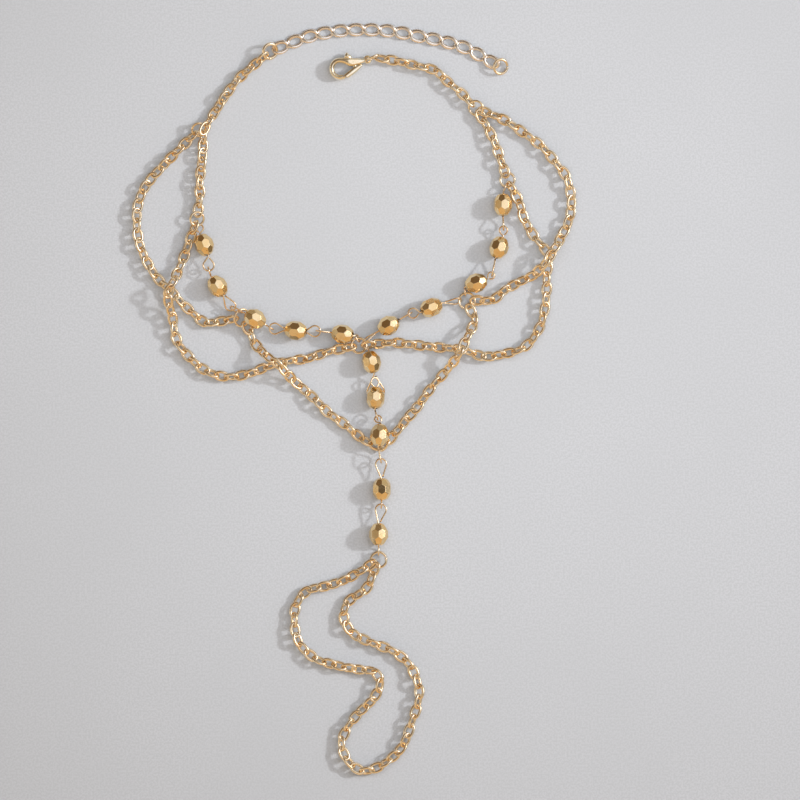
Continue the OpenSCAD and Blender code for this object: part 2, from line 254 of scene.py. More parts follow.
CHAIN_GOLD = gold("chain_gold", bright=(0.99, 0.83, 0.59), deep=(0.98, 0.75, 0.47), rough=0.17,
                  pitting=0.1, pit_scale=WIRE_PITS, tarnish_from=0.65)
PALE_GOLD = gold("pale_gold", bright=(0.99, 0.9, 0.79), deep=(0.98, 0.84, 0.69), rough=0.24,
                 pitting=0.1, pit_scale=WIRE_PITS, tarnish_from=0.65)
BEAD_GOLD = gold("bead_gold", bright=(0.96, 0.74, 0.42), deep=(0.92, 0.65, 0.31), rough=0.11,
                 pitting=0.16, pit_scale=BEAD_PITS, tarnish_from=0.62)
PIN_GOLD = gold("pin_gold", bright=(0.98, 0.8, 0.56), deep=(0.95, 0.7, 0.45), rough=0.18,
                pitting=0.1, pit_scale=WIRE_PITS, tarnish_from=0.67)
# Walls of a bead's hole: a near-black gold with darker patches, which is painted shade inside the
# hole
SHADED_HOLE_GOLD = gold("bead_hole_painted_shade", bright=(0.16, 0.1, 0.05), deep=(0.09, 0.06, 0.03), rough=0.4,
                 pitting=0.2, pit_scale=BEAD_PITS, tarnish_from=0.5, tarnish=(0.04, 0.03, 0.02))
CLASP_GOLD = gold("clasp_gold", bright=(0.99, 0.87, 0.64), deep=(0.97, 0.8, 0.53), rough=0.14,
                  pitting=0.06, pit_scale=CLASP_PITS, tarnish_from=0.68)

# The card's two tones, the tone of its grain, and the scales and depth of its unevenness
CARD_TONES = (0.442, 0.453, 0.47), (0.466, 0.476, 0.495)
CARD_GRAIN = (0.411, 0.42, 0.436)
BLOTCH_SCALE = 14
GRAIN_SCALE = 2400
TOOTH_SCALE = 1800
TOOTH_DEPTH = 0.00003


def pale_surface():
    """Matt card: faint blotches and a fine tooth."""
    made, tree, shader, where = material("pale_surface")
    blotches = ranged(tree, noise(tree, where, BLOTCH_SCALE, 4, 0.6), 0.3, 0.7, 0, 1)
    grain = ranged(tree, noise(tree, where, GRAIN_SCALE, 1), 0.35, 0.65, 0, 1)
    tone = mixed(tree, blotches, *CARD_TONES)
    tree.links.new(mixed(tree, grain, tone, CARD_GRAIN), shader.inputs["Base Color"])
    shader.inputs["Roughness"].default_value = 0.65
    shader.inputs["Specular IOR Level"].default_value = 0.15
    relief(tree, where, shader, TOOTH_SCALE, 0.15, TOOTH_DEPTH)
    return made


# Wires and smooth bars

def unit(v):
    return v / np.linalg.norm(v)


def turned(a, b, degrees):
    """Two axes, turned from the first towards the second."""
    c, s = math.cos(math.radians(degrees)), math.sin(math.radians(degrees))
    return a * c + b * s, b * c - a * s


def sweep(line, radius, sides, closed=False):
    """Corners and faces of a round wire along a line of points."""
    line = np.asarray(line, float)
    n = len(line)
    if closed:
        tangents = np.roll(line, -1, 0) - np.roll(line, 1, 0)
    else:
        tangents = np.gradient(line, axis=0)
    tangents /= np.linalg.norm(tangents, axis=1)[:, None]
    side = UP if abs(tangents[0] @ UP) < 0.9 else np.array([1.0, 0, 0])
    sideways = []
    for t in tangents:
        side = unit(side - t * (side @ t))
        sideways.append(side)
    twist = 0.0
    if closed:
        last = unit(sideways[-1] - tangents[0] * (sideways[-1] @ tangents[0]))
        twist = math.atan2(np.cross(sideways[0], last) @ tangents[0], sideways[0] @ last)
    corners = []
    for i, (point, t, side) in enumerate(zip(line, tangents, sideways)):
        other = np.cross(t, side)
        for k in range(sides):
            a = 2 * math.pi * k / sides - twist * i / n
            corners.append(point + radius * (math.cos(a) * side + math.sin(a) * other))
    return np.array(corners), tube_faces(n, sides, closed)


def tube_faces(rings, sides, closed):
    """Faces between rings of corners, with a cap at both ends of an open tube."""
    faces = []
    for i in range(rings if closed else rings - 1):
        a, b = i * sides, (i + 1) % rings * sides
        faces += [(a + k, a + (k + 1) % sides, b + (k + 1) % sides, b + k) for k in range(sides)]
    if not closed:
        faces.append(tuple(reversed(range(sides))))
        faces.append(tuple((rings - 1) * sides + k for k in range(sides)))
    return faces


def smooth_route(points, steps=12):
    """A smooth line through points, whose missing third number is 0."""
    if len(points[0]) < 4:
        points = [(*p, 0)[:3] for p in points]
    p = np.array(points, float)
    q = np.vstack([2 * p[0] - p[1], p, 2 * p[-1] - p[-2]])
    line = []
    for a, b, c, d in zip(q[:-3], q[1:-2], q[2:-1], q[3:]):
        for t in np.linspace(0, 1, steps, endpoint=False):
            line.append(0.5 * (2 * b + (c - a) * t + (2 * a - 5 * b + 4 * c - d) * t ** 2
                               + (3 * b - a - 3 * c + d) * t ** 3))
    return np.array(line + [q[-2]])


def joined(name, parts):
    """One mesh object from several (corners, faces) in millimetres."""
    corners, faces, start = [], [], 0
    for part_corners, part_faces in parts:
        corners.append(part_corners)
        faces += [tuple(start + i for i in face) for face in part_faces]
        start += len(part_corners)
    mesh = bpy.data.meshes.new(name)
    mesh.from_pydata((np.concatenate(corners) * MM).tolist(), [], faces)
    made = bpy.data.objects.new(name, mesh)
    scene.collection.objects.link(made)
    return made


def piece(name, parts, look, slot, *stands_for, body=BODY):
    """One smooth piece of the part, from several (corners, faces)."""
    made = joined(name, parts)
    made.data.polygons.foreach_set("use_smooth", [True] * len(made.data.polygons))
    made.data.materials.append(look)
    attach(made, body)
    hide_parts(*stands_for)
    return made


# How far before and after a place its direction is taken
NEAR = 0.8


def along(line, at):
    """Points and directions at distances along a line."""
    reach = np.concatenate([[0], np.cumsum(np.linalg.norm(np.diff(line, axis=0), axis=1))])

    def point(distance):
        distance = np.clip(distance, 0, reach[-1])
        return np.array([np.interp(distance, reach, line[:, k]) for k in range(3)]).T

    run = point(at + NEAR) - point(at - NEAR)
    return point(at), run / np.linalg.norm(run, axis=1)[:, None]


def line_length(line):
    return float(np.linalg.norm(np.diff(line, axis=0), axis=1).sum())


# Jump rings. Each is open by twice RING_CUT, with its ends RING_PARTED to either side of its
# plane.

RING_Z = 1.1
RING_SIDES = 12
RING_STEPS = 56
RING_CUT = 3.0
RING_PARTED = 0.06
# x, y, z, outer radius, tilt, heading of the axis it tilts about, where it is cut, wire
RINGS = {
    "clasp": (4.5, 75.84, 1.78, 1.75, 90, 21, 40, 0.54),
    "extender": (-18.4, 77.2, 1.4, 2, 30, 60, 200, 0.72),
    "end": (32.8, 73.8, 1.2, 1.9, 25, 60, 300, 0.6),
    "swag_left": (-34.2, 59.8, 1.5, 1.8, 24, 20, 160, 0.54),
    "swag_right": (27.3, 64.6, 1.5, 1.9, 24, -45, 240, 0.54),
    "left": (-34.6, 40, 1.4, 1.8, 20, 60, 190, 0.54),
    "right": (34.3, 48.7, RING_Z, 1.85, 0, 0, 20, 0.56),
    "lower_left": (-24.6, 18, 1.55, 2.2, 32, 70, 150, 0.56),
    "lower_right": (25.3, 21.8, RING_Z, 2.05, 0, 0, 250, 0.58),
    "centre": (1.3, 11.9, 1.4, 1.95, 8, -135, 265, 0.58),
    "toe": (5.7, -35.7, RING_Z, 2, 0, 0, 20, 0.58),
}


def ring_wire(x, y, z, outer, tilt, heading, cut_at, wire):
    r = outer - wire / 2
    t, h = math.radians(tilt), math.radians(heading)
    a = np.array([math.cos(h), math.sin(h), 0])
    b = np.array([-math.sin(h) * math.cos(t), math.cos(h) * math.cos(t), math.sin(t)])
    turn = np.radians(cut_at + np.linspace(RING_CUT, 360 - RING_CUT, RING_STEPS))[:, None]
    lift = np.linspace(-RING_PARTED, RING_PARTED, RING_STEPS)[:, None]
    line = np.array([x, y, z]) + r * (np.cos(turn) * a + np.sin(turn) * b) + lift * np.cross(a, b)
    return sweep(line, wire / 2, RING_SIDES)


def build_rings():
    for name, row in RINGS.items():
        piece("jump_ring_" + name, [ring_wire(*row)], CHAIN_GOLD, "chain_gold", "ring_" + name)


build_rings()


# Cable chains

LINK_LONG = 3.7
LINK_WIDE = 2.5
LINK_WIRE = 0.66
LINK_SIDES = 10
# The pitch is a little less than the inside length of a link, because a lying chain is slack
SLACK = 0.96
PITCH = SLACK * (LINK_LONG - 2 * LINK_WIRE)
# Height of a flat link's middle, and how far above the surface the lowest wire stays
FLAT_Z = 1.35
FLOOR_GAP = 0.02
# How far a link leans: one that stands, out of the upright, and one that lies flat, either way.
# A link within BARELY of upright may fall to either side. A link also turns aside by up to YAW
# and nods by up to NOD.
STANDING_LEAN = (30, 45)
FLAT_LEAN = 24
BARELY = 5
YAW = 5
NOD = 4


def oval(length, width, points=28, power=2.2):
    """Middle line of a link: u along it, v across it. The power makes it fuller than an ellipse."""
    turn = np.arange(points) * 2 * math.pi / points
    c, s = np.cos(turn), np.sin(turn)
    return np.stack([length / 2 * np.sign(c) * np.abs(c) ** (2 / power),
                     width / 2 * np.sign(s) * np.abs(s) ** (2 / power)], axis=1)


OVAL = oval(LINK_LONG - LINK_WIRE, LINK_WIDE - LINK_WIRE)


def link_at(place, run, roll, yaw, nod):
    """One link with its middle at place, lifted where it would dip into the floor. A roll of 0
    lies flat."""
    level = unit(np.cross(UP, run))
    up = np.cross(run, level)
    run, level = turned(run, level, yaw)
    run, up = turned(run, up, nod)
    across = turned(level, up, roll)[0]
    line = place + OVAL[:, :1] * run + OVAL[:, 1:] * across
    corners, faces = sweep(line, LINK_WIRE / 2, LINK_SIDES, True)
    corners[:, 2] += max(0, FLOOR_GAP - corners[:, 2].min())
    return corners, faces


def rolls(flats, count):
    """Roll of each link. Those in flats lie flat and the links between turn evenly from one to
    the next; then each link that stands leans over, as a chain's links do when it lies slack."""
    roll = np.zeros(count)
    roll[:flats[0] + 1] = 90 * np.arange(flats[0], -1, -1)
    for a, b in zip(flats[:-1], flats[1:]):
        turn = 180 * max(1, round((b - a) / 2))
        roll[a:b + 1] = roll[a] + turn * np.arange(b - a + 1) / (b - a)
    roll[flats[-1]:] = roll[flats[-1]] + 90 * np.arange(count - flats[-1])
    for i in range(count):
        # 1 for an upright link and near 0 for one that lies flat
        stands = abs(math.sin(math.radians(roll[i]))) ** 3
        off = roll[i] % 180 - 90
        way = math.copysign(1, off) if abs(off) > BARELY else rng.choice((-1, 1))
        roll[i] += stands * way * rng.uniform(*STANDING_LEAN)
        roll[i] += (1 - stands) * rng.uniform(-FLAT_LEAN, FLAT_LEAN)
    return roll


def chain(name, stands_for, points, flats):
    """Links from one end of a route to the other. Flats are distances along it, in mm, where a
    link lies flat in the photo."""
    line = smooth_route(points)
    total = line_length(line)
    count = math.ceil(total / PITCH) + 1
    pitch = total / (count - 1)
    places, runs = along(line, np.arange(count) * pitch)
    known = sorted({int(round(f / pitch)) for f in flats})
    known = [k for i, k in enumerate(known) if i == 0 or k - known[i - 1] > 1]
    parts = []
    for place, run, roll in zip(places, runs, rolls(known, count)):
        standing = LINK_WIRE / 2 + (LINK_WIDE - LINK_WIRE) / 2 * abs(math.sin(math.radians(roll)))
        middle = np.array([place[0], place[1], max(standing, FLAT_Z) + place[2]])
        parts.append(link_at(middle, run, roll, rng.uniform(-YAW, YAW), rng.uniform(-NOD, NOD)))
    piece(name, parts, CHAIN_GOLD, "chain_gold", stands_for)


# How far outside a ring the middle of a link lies that is hooked in it
HOOKED = 0.25


def from_ring(name, towards):
    """Middle of the link that hooks in a ring, on the way to a point."""
    x, y, z, outer = RINGS[name][:4]
    to = unit(np.array(towards[:2]) - (x, y))
    return (x + to[0] * (outer + HOOKED), y + to[1] * (outer + HOOKED), 0)


def hung(ring_a, middle, ring_b):
    """Route of a chain between two rings."""
    start = [from_ring(ring_a, middle[0])] if ring_a else []
    end = [from_ring(ring_b, middle[-1])] if ring_b else []
    return start + middle + end


# Name of the links, node they stand for, ring at the start, route points of x, y and lift,
# ring at the end, distances of the flat links
CHAINS = [
    ("ankle_links_right_upper", "ankle_chain_right_upper", "clasp",
     [(10, 75), (14, 74), (18, 73), (21, 70.5), (24, 68)], "swag_right", [3, 7, 11, 15.5, 19]),
    ("ankle_links_right_lower", "ankle_chain_right_lower", "swag_right",
     [(30, 60), (31.5, 57), (32.5, 54)], "right", [1, 5, 8.5]),
    ("ankle_links_left_upper", "ankle_chain_left_upper", "extender",
     [(-25, 71.5), (-27.5, 68.5), (-29.5, 65.5), (-31.4, 62.6), (-32.9, 60, 0.9)],
     None, [2, 6, 10, 17]),
    ("ankle_links_left_lower", "ankle_chain_left_lower", None,
     [(-33.2, 58.2), (-33.5, 53), (-34, 48.5), (-34, 45)], "left", [1.5, 5, 9, 13]),
    ("swag_links_outer_left", "swag_outer_left", "swag_left",
     [(-41, 53), (-45.5, 48), (-47.5, 44), (-48, 39.5), (-47.5, 35), (-46, 31), (-43.5, 27),
      (-40.5, 24), (-36, 19.5), (-32.5, 17)],
     "lower_left", [2.5, 7, 14, 19.5, 27, 33.5, 47, 51.5, 56]),
    ("swag_links_inner_left", "swag_inner_left", "left",
     [(-37, 33), (-38.5, 29, 0.5), (-40, 25.5, 2.5), (-41, 22.5, 2.5), (-40, 18, 0.5),
      (-39.5, 14.5), (-38.5, 12), (-36, 9), (-33, 6.5), (-28.5, 5), (-23.5, 5.5), (-19.5, 7),
      (-14, 8.5), (-10, 9), (-5.5, 10.5)],
     "centre", [6, 10.5, 21.5, 30.5, 35.5, 40, 45, 49, 58.5, 63]),
    ("v_links_left", "v_chain_left", "lower_left",
     [(-21.5, 12), (-19, 9.5, 2), (-17, 8, 2.6), (-15, 6, 2), (-12.5, 3.5), (-9, 0.5),
      (-5.5, -3), (-2, -5.5), (0.5, -7.6), (3, -9.4, -0.2), (5, -10.2, -0.3)],
     None, [0, 4, 6.5, 16, 22.5, 27.5, 32, 36.5]),
    ("v_links_right", "v_chain_right", None,
     [(7, -10.2, -0.3), (8.8, -8.3), (11.5, -5), (14.5, -1.5), (17, 2), (20, 5.5),
      (22.5, 8.5, 2), (24, 11, 2.6), (25.5, 14, 2), (27, 17.5)],
     "lower_right", [3, 8, 15, 19.5, 24, 33, 37]),
    ("swag_links_outer_right", "swag_outer_right", "swag_right",
     [(33.5, 62), (38, 59), (42, 56), (45, 52.5), (47.5, 49), (48.5, 44), (48, 40),
      (46.5, 36.5, 0.4), (44.5, 33, 2.5), (42.5, 30, 2.5), (40, 27.5, 0.4), (37, 26),
      (33.5, 24), (31, 22)],
     "lower_right", [0, 4, 8.5, 13, 17.5, 22, 25.5, 47, 49, 55, 57]),
    ("swag_links_inner_right", "swag_inner_right", "right",
     [(37, 43.5), (38, 40), (40, 36.5), (42, 34), (43.5, 31.5), (43, 27.5), (43, 23.5),
      (42.5, 19.5), (41, 15), (38, 11.5), (33.5, 10), (29, 9.5), (24, 11), (19, 11.5), (14, 12),
      (9, 12.5)],
     "centre", [3, 7, 11.5, 24.5, 29, 33.5, 38.5, 43, 48.5, 58, 63, 67.5]),
    ("toe_loop_links", "toe_loop", "toe",
     [(-1.5, -40), (-6, -41.5), (-10, -42.5), (-12.5, -45.5), (-13, -49.5), (-12, -54),
      (-8.5, -57.5), (-4, -59), (1, -60), (4.5, -60.5), (6, -63), (4.5, -66.5), (1, -70),
      (-1.5, -73.5), (-2.5, -77), (-0.5, -81), (3, -82.5), (7.5, -80.5), (11, -77), (13, -72),
      (14.5, -67), (14.5, -63.5), (12.5, -59), (9, -56), (4, -54), (0, -52), (-2, -48.5),
      (-1, -45), (3, -42)],
     "toe", [5.5, 10.5, 15.5, 20.5, 24.5, 32, 37, 42, 46, 48.5, 53, 58, 62.5, 71.5, 76, 80.5,
             84.5, 88, 92, 107, 115, 122, 126, 130.5]),
]
for name, stands_for, ring_a, middle, ring_b, flats in CHAINS:
    chain(name, stands_for, hung(ring_a, middle, ring_b), flats)


# Extender: flattened curb links, each twisted so that its ends dip under and rise over its
# neighbours

CURB_LONG = 4.2
CURB_WIDE = 3.1
CURB_WIRE = 0.84
CURB_TWIST = 3.84
CURB_Z = 0.55
CURB_FLAT = 0.7
CURB_LEAN = 4
CURB_LINKS = 15
# How far from the ends of the route the middles of the first and last link are
CURB_INSET = 0.2
CURB_OVAL = oval(CURB_LONG - CURB_WIRE, CURB_WIDE - CURB_WIRE, 32, 2.0)
EXTENDER = [(-10, 80.5), (-5, 81.5), (0, 82), (5, 82), (10, 81.5), (15, 80.5), (20, 79.5),
            (25, 78)]


def curb_link(place, run, lean):
    level = unit(np.cross(UP, run))
    u, v = CURB_OVAL[:, :1], CURB_OVAL[:, 1:]
    aside, lift = v * math.cos(math.radians(lean)), v * math.sin(math.radians(lean))
    twist = CURB_TWIST * u * v / (CURB_LONG * CURB_WIDE)
    corners, faces = sweep(place + u * run + aside * level + (lift + twist) * UP,
                           CURB_WIRE / 2, LINK_SIDES, True)
    corners[:, 2] = place[2] + (corners[:, 2] - place[2]) * CURB_FLAT
    corners[:, 2] += max(0, FLOOR_GAP - corners[:, 2].min())
    return corners, faces


def build_extender():
    line = smooth_route(hung("extender", EXTENDER, "end"))
    places, runs = along(line, np.linspace(CURB_INSET, line_length(line) - CURB_INSET, CURB_LINKS))
    places[:, 2] = CURB_Z
    links = [curb_link(place, run, rng.uniform(-CURB_LEAN, CURB_LEAN))
             for place, run in zip(places, runs)]
    piece("extender_links", links, PALE_GOLD, "pale_gold", "extender_chain")


build_extender()


# Bead strings

BEAD_LONG = 4.9
BEAD_WIDE = 3.9
BEAD_HOLE = 1.1
BEAD_FACETS = 8
BEAD_Z = 2.15
# Rows of facets: tilt out of the middle, stagger in facets, distance from the middle of the bead
# in half widths, end that they face
FACET_ROWS = [(0, 0.5, 1, 0), (31, 0, 1.098, 1), (31, 0, 1.098, -1), (62, 0.5, 1.27, 1),
              (62, 0.5, 1.27, -1)]
# Edges sharper than WORN_FROM are rounded over WORN_EDGE to each side
WORN_EDGE = 0.07
WORN_FROM = 12

HOOK_Z = 1.15
PIN_WIRE = 0.4
PIN_SIDES = 10
# A loop within STRAIGHT of the hole's axis begins in the hole, the others just outside it
STRAIGHT = 12
IN_HOLE = 0.35
OUTSIDE = 0.3
# Width of a loop and of the long one, and how far a loop reaches past what it is hooked in. A
# short loop is narrower: the radius of its round end is at most its length over LOOP_SLIM. The
# wire's cut end lies LOOP_PARTED clear of the loop's middle line.
LOOP_WIDE = 2.8
LONG_LOOP = 4.2
LOOP_SLIM = 2.4
LOOP_STEPS = 18
LOOP_PARTED = 0.04
PAST_LOOP = 0.65
PAST_RING = 0.8

# Bead: its middle, heading and pitch of its hole, where the far loop is hooked, that loop's
# roll, turn of the facets about the hole, how far the far end is tipped up, and the middle of
# the round end of a loop that is too long for its neighbour
Bead = namedtuple("Bead", "x y z heading pitch hook_x hook_y hook_z roll turn tip long_end",
                  defaults=[None])
# For each string, where its first loop is hooked and that loop's roll, and its beads
STRINGS = {
    "left": ((-34.3, 38.4, HOOK_Z, 25), [
        (-33, 34.2, BEAD_Z, -70, 0, -32, 28.9, BEAD_Z, 0, 6, 5),
        (-30, 25, BEAD_Z, -56, 0, -26.8, 20.1, 1.5, 20, 5, 4),
        (-21.7, 17.8, BEAD_Z + 0.75, -30, -5, -18.1, 15.7, BEAD_Z, 90, 8, 0),
        (-12.7, 15.2, BEAD_Z, -6, 0, -7.7, 15.1, BEAD_Z, 0, -7, 10),
        (-2.3, 14.4, BEAD_Z + 0.15, -8, 0, 1.2, 13.4, 1.1, 120, -7, 10)]),
    "right_upper": ((33.8, 47.1, HOOK_Z, 90), [
        (33.3, 43.1, BEAD_Z, -91, 0, 33.4, 37.9, BEAD_Z, 90, 11, 2),
        (32.4, 33.6, BEAD_Z, -110, 0, 30.9, 27.6, BEAD_Z, 90, 7, 11),
        (27.3, 25.7, BEAD_Z, -159, 0, 24.9, 23.55, HOOK_Z, 90, 0, 3)]),
    "right_lower": ((23.5, 21.8, HOOK_Z, 60), [
        (17.4, 20.3, BEAD_Z, -157, 0, 12.7, 19, BEAD_Z, 0, 22, 11),
        (7.9, 16.3, BEAD_Z, -151, 0, 2.6, 12.95, 1.4, 75, -5, -10)]),
    "foot": ((2.75, 11.55, 1.5, 75), [
        (4.1, 8.2, BEAD_Z, -77, 0, 4.84, 4.3, BEAD_Z, -60, 10, 8, (5.05, 1.6, 0.9)),
        (5, 0.3, BEAD_Z, -92, 0, 5.4, -4.2, 2.4, 90, 16, 11),
        (5.9, -8, BEAD_Z + 0.9, -96, 6, 6.2, -13.7, 2.3, 90, 2, 0),
        (6.4, -20, BEAD_Z, -90, 0, 6.3, -23.8, BEAD_Z, 90, 22, 1),
        (5.7, -30, BEAD_Z, -90, 0, 5.7, -34, HOOK_Z, 90, 0, 2)]),
}
# Name of each string's nodes, and how many beads of that name come before it
NUMBERED = {"left": ("left", 0), "right_upper": ("right", 0), "right_lower": ("right", 3),
            "foot": ("foot", 0)}


def neck(row, end, hook):
    """Where a loop begins at one end of a bead."""
    axis = end * np.array(toward(row.heading, row.pitch))
    face = np.array(row[:3]) + axis * BEAD_LONG / 2
    straight = unit(hook - face) @ axis > math.cos(math.radians(STRAIGHT))
    return face + axis * (-IN_HOLE if straight else OUTSIDE)


def loop_line(start, hook, reach, roll, wide=LOOP_WIDE):
    """Middle line of a drop-shaped loop from its start, round its tip, to the wire's cut end."""
    run = unit(hook - start)
    level = unit(np.cross(UP, run))
    aside = turned(level, np.cross(run, level), roll)[0]
    tip = np.linalg.norm(hook - start) + reach - PIN_WIRE / 2
    r = min((wide - PIN_WIRE) / 2, tip / LOOP_SLIM)
    c = tip - r
    half = math.asin(r / c)
    leg = c * math.cos(half)
    out = run * math.cos(half) - aside * math.sin(half)
    back = run * math.cos(half) + aside * math.sin(half)
    turn = np.linspace(-math.pi / 2 - half, math.pi / 2 + half, LOOP_STEPS)
    cut = (PIN_WIRE / 2 + LOOP_PARTED) / math.sin(half)
    line = [start] + [start + out * leg * t for t in (0.3, 0.6)]
    line += [start + run * (c + r * math.cos(a)) + aside * r * math.sin(a) for a in turn]
    line += [start + back * t for t in (leg * 0.7, max(leg * 0.4, cut * 1.1), cut)]
    return line


def pin_wire(start, rows, i):
    """The wire of a pin, from the cut end of its near loop to that of its far loop."""
    row = rows[i]
    if i == 0:
        hook, past, roll = np.array(start[:3]), PAST_RING, start[3]
    else:
        hook, past, roll = np.array(rows[i - 1][5:8]), PAST_LOOP, rows[i - 1].roll + 90
    near_loop = loop_line(neck(row, -1, hook), hook, past, roll)
    if row.long_end:
        hook = np.array(row.long_end)
        far_loop = loop_line(neck(row, 1, hook), hook, LONG_LOOP / 2, 0, LONG_LOOP)
    else:
        hook = np.array(row[5:8])
        past = PAST_RING if i == len(rows) - 1 else PAST_LOOP
        far_loop = loop_line(neck(row, 1, hook), hook, past, row.roll)
    line = np.array(near_loop[::-1] + far_loop)
    line[:, 2] = np.maximum(line[:, 2], PIN_WIRE / 2 + FLOOR_GAP)
    return sweep(line, PIN_WIRE / 2, PIN_SIDES)


def bead_planes():
    """The planes that cut a bead along x: (normal, distance from its middle). A row of facets
    round the middle, a staggered row towards each end, and a narrow row beside each flat end."""
    planes = []
    for tilt, stagger, distance, end in FACET_ROWS:
        t = math.radians(tilt)
        for k in range(BEAD_FACETS):
            a = (k + stagger) * 2 * math.pi / BEAD_FACETS
            normal = end * math.sin(t), math.cos(t) * math.cos(a), math.cos(t) * math.sin(a)
            planes.append((np.array(normal), BEAD_WIDE / 2 * distance))
    return planes + [(np.array([end, 0.0, 0.0]), BEAD_LONG / 2) for end in (1.0, -1.0)]


# Least volume between three normals that meet in a corner, and how near to a plane or a corner
# a point has to be, in millimetres
LEAST_SPREAD = 0.01
INSIDE = 1e-6
SAME_CORNER = 1e-4
ON_PLANE = 1e-5


def cut_solid(planes):
    """Corners and faces of the solid inside all planes. The last two faces are the flat ends."""
    normals = np.array([n for n, d in planes])
    distances = np.array([d for n, d in planes])
    corners = []
    for i in range(len(planes)):
        for j in range(i):
            for k in range(j):
                three = normals[[i, j, k]]
                if abs(np.linalg.det(three)) > LEAST_SPREAD:
                    p = np.linalg.solve(three, distances[[i, j, k]])
                    if (normals @ p < distances + INSIDE).all():
                        if not any(np.linalg.norm(p - q) < SAME_CORNER for q in corners):
                            corners.append(p)
    corners = np.array(corners)
    faces = []
    for normal, distance in planes:
        on = np.where(np.abs(corners @ normal - distance) < ON_PLANE)[0]
        a = unit(np.cross(normal, [0.3, 0.5, 0.8]))
        b = np.cross(normal, a)
        flat = corners[on] - corners[on].mean(0)
        faces.append(on[np.argsort(np.arctan2(flat @ b, flat @ a))].tolist())
    return corners, faces


# Sides of the hole
HOLE_WALLS = 2 * BEAD_FACETS


def bead_solid():
    """A faceted bead along x with its hole. The last faces are the walls of the hole."""
    corners, faces = cut_solid(bead_planes())
    holes = []
    solid = [tuple(face) for face in faces[:-2] if len(face) > 2]
    sides = HOLE_WALLS
    for rim, end in ((faces[-2], 1), (faces[-1], -1)):
        first = math.atan2(corners[rim[0]][2], corners[rim[0]][1])
        turn = first + end * np.arange(sides) * 2 * math.pi / sides
        start = len(corners)
        ring = np.stack([np.full(sides, end * BEAD_LONG / 2), BEAD_HOLE / 2 * np.cos(turn),
                         BEAD_HOLE / 2 * np.sin(turn)], 1)
        corners = np.vstack([corners, ring])
        for k in range(BEAD_FACETS):
            p, q = rim[k], rim[(k + 1) % BEAD_FACETS]
            near, middle, far = (start + (2 * k + m) % sides for m in range(3))
            solid += [(p, q, middle), (p, middle, near), (q, far, middle)]
        holes.append([start + k for k in range(sides)])
    front, back = holes
    angle = {i: math.atan2(corners[i][2], corners[i][1]) % (2 * math.pi) for i in front + back}

    def apart(i, j):
        return abs((angle[i] - angle[j] + math.pi) % (2 * math.pi) - math.pi)

    nearest = [min(back, key=lambda j: apart(i, j)) for i in front]
    for k in range(sides):
        solid.append((front[k], front[(k + 1) % sides], nearest[(k + 1) % sides], nearest[k]))
    return corners, solid


BEAD_CORNERS, BEAD_FACES = bead_solid()


def bead(name, stands_for, row):
    """A bead turned on its pin as it happens to lie."""
    x = np.array(toward(row.heading, row.pitch + row.tip))
    y = unit(np.cross(UP, x))
    axes = np.stack([x, *turned(y, np.cross(x, y), row.turn)])
    made = piece(name, [(np.array(row[:3]) + BEAD_CORNERS @ axes, BEAD_FACES)],
                 BEAD_GOLD, "bead_gold", stands_for)
    # The walls of the hole get the near-black gold that paints shade inside it
    made.data.materials.append(SHADED_HOLE_GOLD)
    for wall in made.data.polygons[-HOLE_WALLS:]:
        wall.material_index = 1
    bevel = made.modifiers.new("worn edges", "BEVEL")
    bevel.width = WORN_EDGE * MM
    bevel.segments = 2
    bevel.limit_method = "ANGLE"
    bevel.angle_limit = math.radians(WORN_FROM)
    bevel.harden_normals = True


def build_strings():
    for string, (start, beads) in STRINGS.items():
        side, before = NUMBERED[string]
        rows = [Bead(*row) for row in beads]
        for i, row in enumerate(rows):
            which = "%s_%d" % (side, before + i + 1)
            piece("eye_pin_" + which, [pin_wire(start, rows, i)], PIN_GOLD, "pin_wire",
                  "pin_" + which)
            bead("facet_bead_" + which, "bead_" + which, row)


build_strings()


# Clasp, in its own frame: origin in the middle of the hook, u towards the tail, v to its left

CLASP_AT = np.array([-2.8, 73.3, 1.2])
CLASP_HEADING = 19
PIVOT = (3.2, 0.45)
# Radius about the pivot where the gate ends, and radii between which the hook is cut for it
GATE_REACH = 3.66
GATE_SWING = (2.3, 3.75)
# The slot for the lever: from and to along u, height
SLOT = (2.3, 3.95)
SLOT_HIGH = 0.98
# Further out than the clasp is wide, high or long from the pivot
BEYOND_WIDE = 2.45
BEYOND_HIGH = 2
BEYOND_LONG = 5.2
TAIL_AT = (6.4, 0)
TAIL_R = 0.7
BAR_STEPS = 8
BAR_SIDES = 24

# Stations of a bar: u, v, half width, half height, fullness of the section. A fullness of 2 is
# an ellipse.
BACK = [(5.7, 0.04, 0.4, 0.36, 2.4), (5.0, 0.14, 0.56, 0.44, 2.8), (4.4, 0.24, 0.7, 0.54, 3.2),
        (3.8, 0.36, 0.82, 0.66, 3.4), (3.2, 0.5, 0.92, 0.79, 3.4), (2.65, 0.68, 0.98, 0.9, 3.2),
        (2.15, 0.96, 0.9, 0.98, 3.0), (1.6, 1.32, 0.76, 1.0, 2.6), (0.95, 1.64, 0.66, 1.0, 2.3),
        (0.35, 1.85, 0.62, 1.0, 2.2)]
GATE = [(4.5, -0.78, 0.36, 0.36, 2.6), (3.5, -1.08, 0.56, 0.58, 3), (2.5, -1.42, 0.62, 0.79, 3.2),
        (1.75, -1.67, 0.62, 0.93, 3.2), (0.5, -2.09, 0.6, 1.12, 3.2)]
ARM = [(3.2, 0.55, 0.42, 0.45, 2.5), (3.22, -0.3, 0.42, 0.45, 2.5), (3.25, -1.1, 0.36, 0.45, 2.5)]
THUMB = [(3.2, 0.45, 0.4, 0.45, 2.2), (2.8, 1.3, 0.5, 0.45, 2.2), (2.4, 1.98, 0.74, 0.7, 2.4),
         (2.36, 2.35, 0.6, 0.75, 2.4), (2.42, 2.72, 0.3, 0.6, 2.2)]
